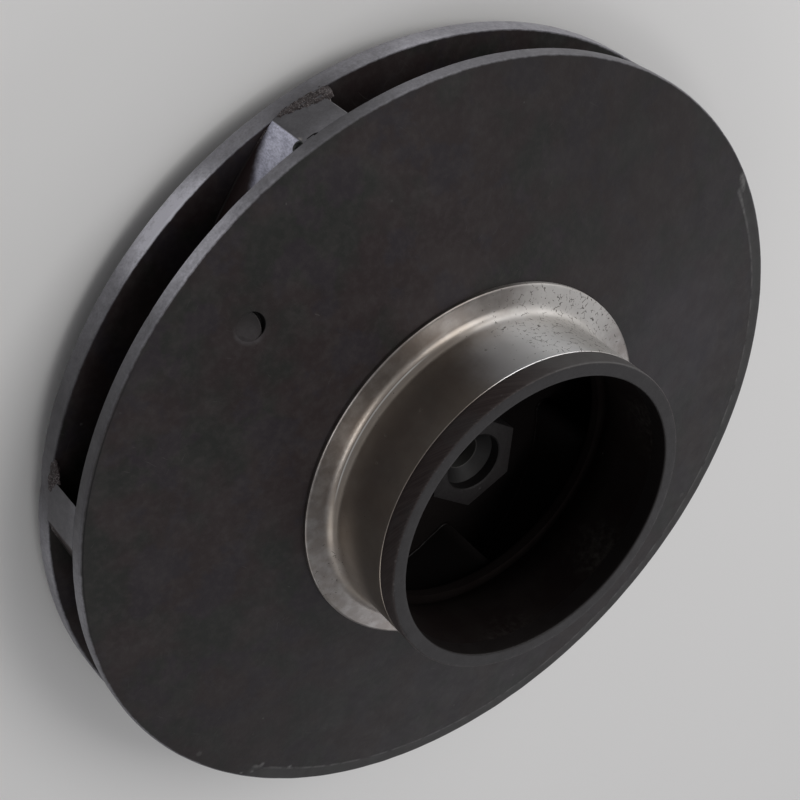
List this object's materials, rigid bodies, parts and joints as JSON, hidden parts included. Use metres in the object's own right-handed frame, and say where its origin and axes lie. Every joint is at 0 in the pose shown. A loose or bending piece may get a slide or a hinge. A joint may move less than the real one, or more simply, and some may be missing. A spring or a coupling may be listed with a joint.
{
  "type": "pump impeller",
  "caption": "Closed radial pump impeller of black plastic with backward-curved vanes, a stainless wear ring on its eye and a hexagon nose on its hub.",
  "frame": {"origin": "on the shaft axis, in the plane of the rear boss's back face, which is the lowest plane of the part", "axes": "+Z along the shaft axis from the back towards the eye; +X through the outer end of the first vane"},
  "size_m": [0.198, 0.198, 0.059],
  "materials": {
    "black_plastic": "moulded fibre-filled plastic, worn and dusty",
    "turned_plastic": "turned fibre-filled plastic, scuffed",
    "stainless": "pressed stainless sheet with fine rust specks"
  },
  "bodies": {
    "root": {"front_shroud": "black_plastic", "eye_neck": "black_plastic", "eye_lip": "turned_plastic", "wear_ring": "stainless", "back_shroud": "black_plastic", "hub": "black_plastic", "hex_nose": "turned_plastic", "rear_boss": "black_plastic", "vane_1": "turned_plastic", "vane_2": "turned_plastic", "vane_3": "turned_plastic", "vane_4": "turned_plastic", "vane_5": "turned_plastic", "vane_6": "turned_plastic"}
  },
  "joints": []
}
